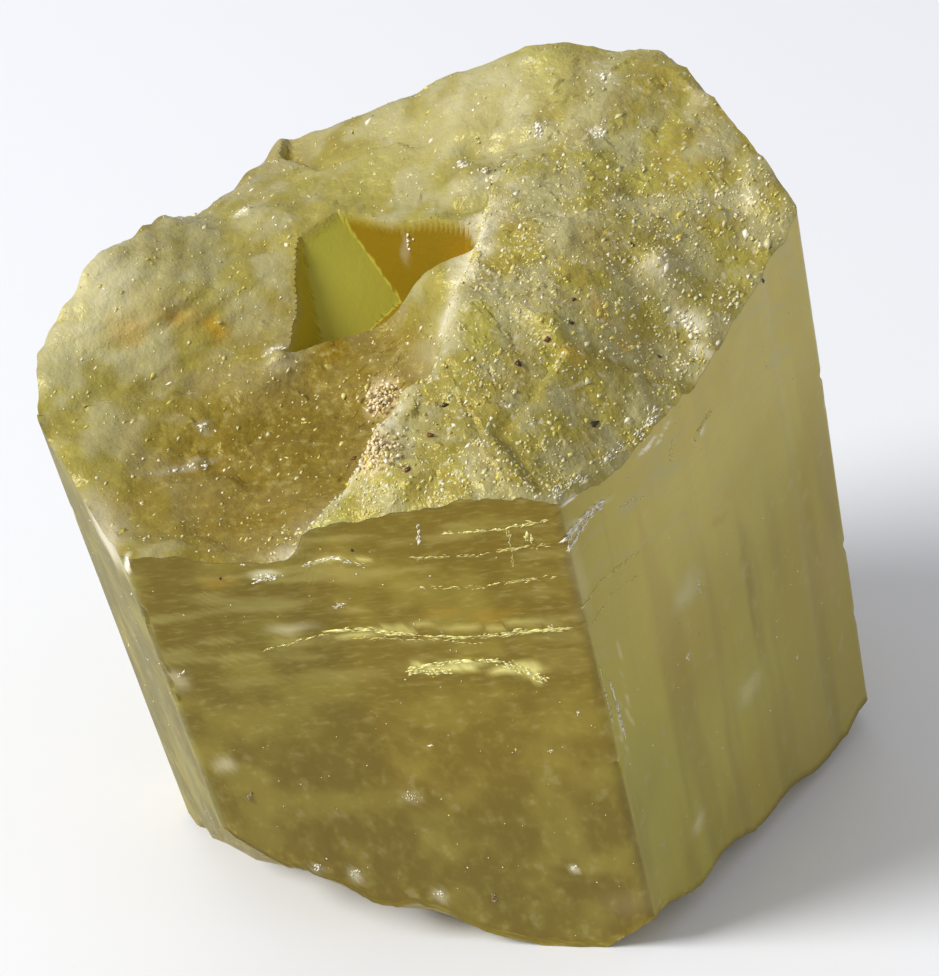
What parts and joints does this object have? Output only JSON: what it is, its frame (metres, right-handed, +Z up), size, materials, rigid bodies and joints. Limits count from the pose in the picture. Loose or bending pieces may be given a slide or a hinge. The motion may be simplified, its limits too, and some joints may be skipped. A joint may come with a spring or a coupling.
{
  "type": "apatite crystal",
  "caption": "Stubby six-sided crystal of translucent yellow-green apatite, broken across its pitted top, resting on a slanting flat break.",
  "frame": {"origin": "middle of the crystal's footprint box, on the plane that it stands on", "axes": "+Z up; the broad prism face looks towards -Y and the prism leans towards -X and -Y"},
  "size_m": [0.0255, 0.022, 0.0234],
  "materials": {
    "apatite": "translucent yellow-green mineral, satin prism faces, frosted and sparkling on the broken top"
  },
  "bodies": {
    "root": {"crystal": "apatite"}
  },
  "joints": []
}
